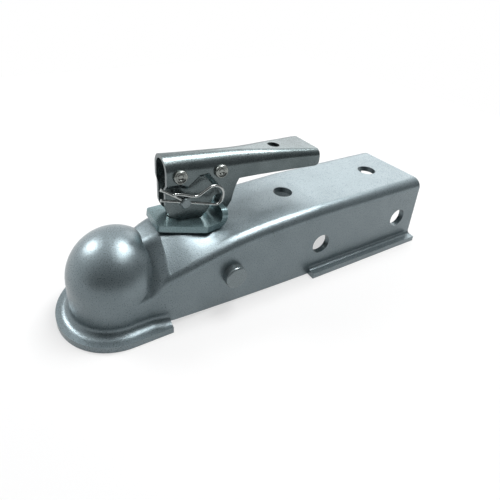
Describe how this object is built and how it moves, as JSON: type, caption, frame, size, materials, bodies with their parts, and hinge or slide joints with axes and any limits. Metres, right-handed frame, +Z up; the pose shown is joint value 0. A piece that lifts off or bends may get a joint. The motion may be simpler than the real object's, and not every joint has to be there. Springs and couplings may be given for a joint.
{
  "type": "straight tongue trailer ball coupler",
  "caption": "Pressed steel trailer ball coupler with a rounded socket, an open channel for the tongue, and a folded lever latch that closes a jaw under the ball.",
  "frame": {"origin": "centre of the ball socket, which is the ball's centre when coupled", "axes": "+X runs back along the channel towards the trailer, +Z is up, +Y is the left side seen from the ball looking back along +X"},
  "size_m": [0.2663, 0.0726, 0.0979],
  "materials": {
    "body_finish": "satin silver-grey plating with a fine grain",
    "latch_zinc": "bright clear zinc plating, faintly blue",
    "pin_steel": "dull plated steel",
    "spring_steel": "bright drawn wire",
    "bolt_zinc": "zinc-plated steel",
    "rivet_steel": "bright steel",
    "jaw_steel": "plain plated steel"
  },
  "bodies": {
    "coupler": {"coupler_body": "body_finish", "base_plate": "latch_zinc", "jaw_pin": "pin_steel", "jaw_spring": "spring_steel"},
    "draw_bolt": {"draw_bolt": "bolt_zinc", "draw_washer": "bolt_zinc", "draw_nut": "bolt_zinc", "lever_pin": "pin_steel", "hairpin_clip": "spring_steel"},
    "lever": {"lever": "latch_zinc", "front_rivet": "rivet_steel", "rear_rivet": "rivet_steel", "rivet_sleeve": "rivet_steel", "trigger_spring": "spring_steel"},
    "trigger": {"trigger": "latch_zinc"},
    "under_jaw": {"under_jaw": "jaw_steel"}
  },
  "joints": [
    {"name": "bolt_slide", "type": "slide", "parent": "coupler", "child": "draw_bolt", "axis": [-0.1564, 0, -0.9877], "range_m": [0, 0.0056], "deforming": ["jaw_spring"]},
    {"name": "lever_hinge", "type": "hinge", "parent": "draw_bolt", "child": "lever", "pos_m": [0.041, 0, 0.0453], "axis": [0, -1, 0], "range_deg": [0, 80]},
    {"name": "trigger_hinge", "type": "hinge", "parent": "lever", "child": "trigger", "pos_m": [0.0656, 0, 0.059], "axis": [0, -1, 0], "range_deg": [0, 8], "stiffness_Nm_per_rad": 0.2, "springref_deg": -11.46},
    {"name": "jaw_hinge", "type": "hinge", "parent": "coupler", "child": "under_jaw", "pos_m": [0.0655, 0, -0.0022], "axis": [0, -1, 0], "range_deg": [0, 10]}
  ],
  "couplings": [
    {"joint": "bolt_slide", "follows": "lever_hinge", "m_per_rad": 0.00389},
    {"joint": "jaw_hinge", "follows": "lever_hinge", "ratio": 0.1231}
  ]
}
